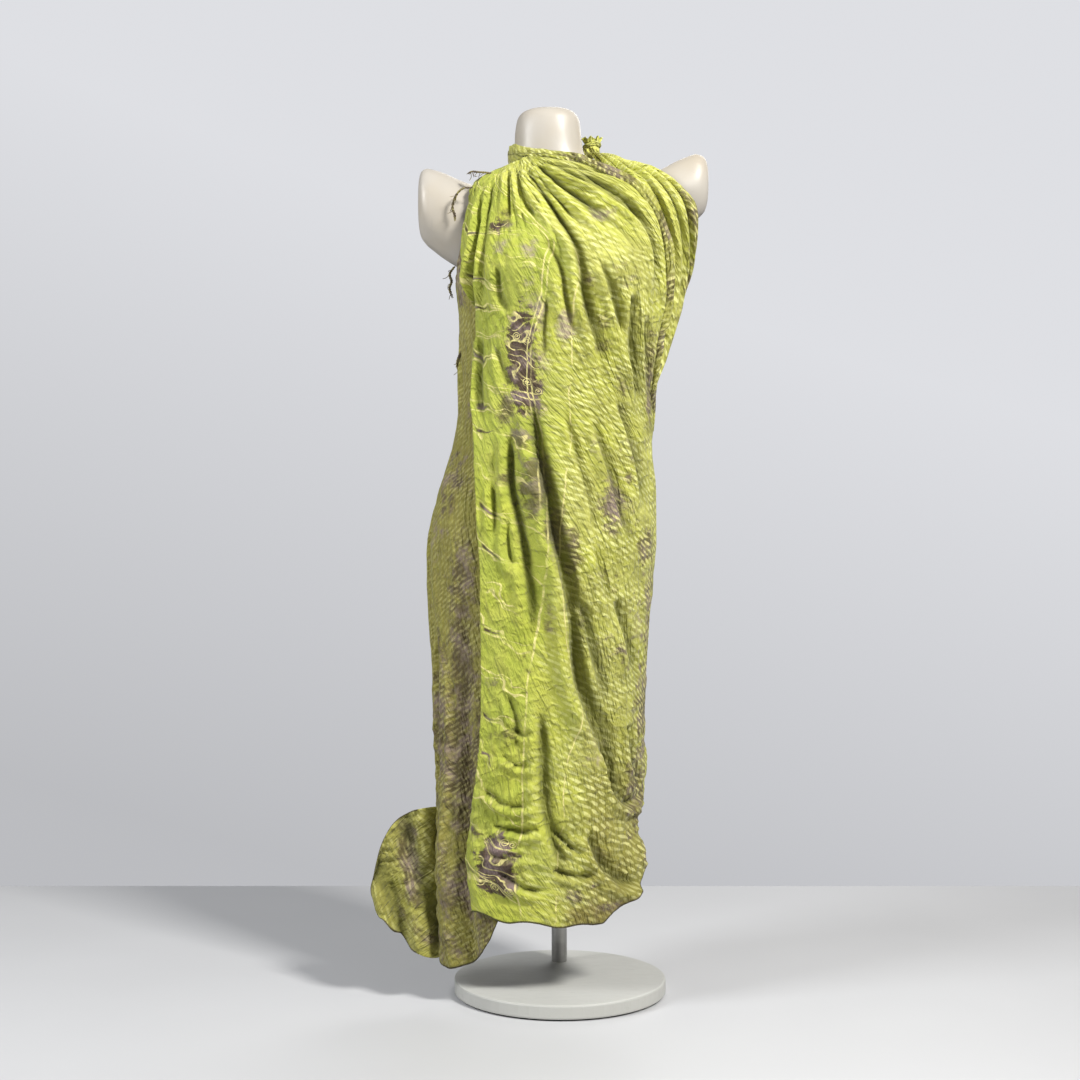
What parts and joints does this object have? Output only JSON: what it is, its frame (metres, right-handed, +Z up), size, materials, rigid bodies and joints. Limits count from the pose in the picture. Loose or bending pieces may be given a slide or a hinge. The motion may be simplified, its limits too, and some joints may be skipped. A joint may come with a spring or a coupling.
{
  "type": "batik longyi sarong tied as a wrap dress on a limbless dress form with a round stand",
  "caption": "Rectangular batik sarong wound round a limbless dress form and tied behind the neck, with a rolled neckline, uneven hem and a kicked-out lower corner, on a pole and round base.",
  "frame": {"origin": "centre of the stand's underside, on the floor", "axes": "+Z up along the pole; the garment's front looks along -Y; +X is on the right of someone looking at the front"},
  "size_m": [0.572, 0.36, 1.5035],
  "materials": {
    "batik_cloth": "matt crinkled cotton, lime green batik",
    "fringe_yarn": "matt twisted yarn",
    "form_shell": "soft gloss off-white",
    "stand_steel": "brushed",
    "stand_paint": "satin pale grey",
    "pad_rubber": "matt"
  },
  "bodies": {
    "root": {"front_fall": "batik_cloth", "back_wrap": "batik_cloth", "side_wrap": "batik_cloth", "hem_corner": "batik_cloth", "shoulder_drape": "batik_cloth", "neck_band": "batik_cloth", "edge_roll": "batik_cloth", "knot": "batik_cloth", "knot_end_front": "batik_cloth", "knot_end_back": "batik_cloth", "fringe_twist_shoulder": "fringe_yarn", "fringe_twist_corner": "fringe_yarn", "fringe_twist_underarm": "fringe_yarn", "fringe_twist_waist": "fringe_yarn", "dress_form": "form_shell", "stand_pole": "stand_steel", "stand_base": "stand_paint", "base_pad": "pad_rubber"}
  },
  "joints": []
}
